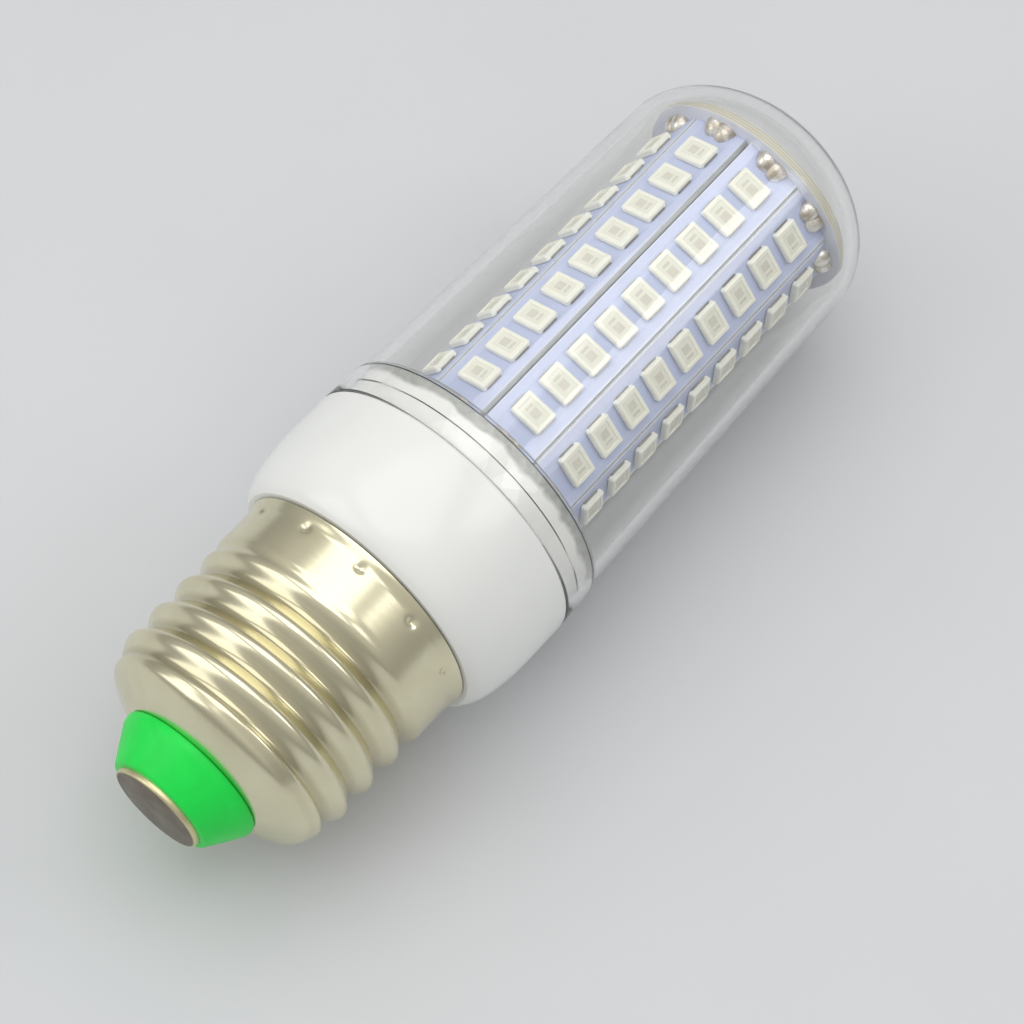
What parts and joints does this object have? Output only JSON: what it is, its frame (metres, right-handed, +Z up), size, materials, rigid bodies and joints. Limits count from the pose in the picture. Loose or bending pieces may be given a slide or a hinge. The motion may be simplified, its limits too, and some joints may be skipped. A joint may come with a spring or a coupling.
{
  "type": "germicidal led bulb",
  "caption": "Screw-cap LED corn bulb: a ring of diode strips under a clear tapering cover, on a white bowl-shaped housing with a metal lamp cap.",
  "frame": {"origin": "on the bulb's axis, in the plane where the screw shell's rim meets the white housing", "axes": "+X along the bulb's axis from the cap towards the domed end; the bulb lies on its side and +Z is up"},
  "size_m": [0.0963, 0.0318, 0.0318],
  "materials": {
    "nickel_shell": "gloss",
    "green_insulator": "satin",
    "contact_metal": "gloss",
    "white_housing": "gloss",
    "clear_cover": "gloss",
    "white_board": "satin",
    "diode_package": "satin",
    "top_board": "satin",
    "base_board": "satin",
    "solder": "satin",
    "film_capacitor": "gloss",
    "capacitor_can": "gloss",
    "rectifier_case": "matte",
    "bleed_resistor": "matte",
    "fuse_resistor": "matte",
    "live_lead": "satin",
    "neutral_lead": "satin"
  },
  "bodies": {
    "root": {"screw_shell": "nickel_shell", "insulator": "green_insulator", "centre_contact": "contact_metal", "housing": "white_housing", "clear_cover": "clear_cover", "base_board": "base_board", "top_board": "top_board", "led_board_01": "white_board", "led_board_02": "white_board", "led_board_03": "white_board", "led_board_04": "white_board", "led_board_05": "white_board", "led_board_06": "white_board", "led_board_07": "white_board", "led_board_08": "white_board", "led_board_09": "white_board", "led_board_10": "white_board", "leds_01": "diode_package", "leds_02": "diode_package", "leds_03": "diode_package", "leds_04": "diode_package", "leds_05": "diode_package", "leds_06": "diode_package", "leds_07": "diode_package", "leds_08": "diode_package", "leds_09": "diode_package", "leds_10": "diode_package", "top_leds": "diode_package", "top_solder_joints": "solder", "base_solder_joints": "solder", "film_capacitor": "film_capacitor", "smoothing_capacitor": "capacitor_can", "bridge_rectifier": "rectifier_case", "bleed_resistor": "bleed_resistor", "fuse_resistor": "fuse_resistor", "live_lead": "live_lead", "neutral_lead": "neutral_lead"}
  },
  "joints": []
}
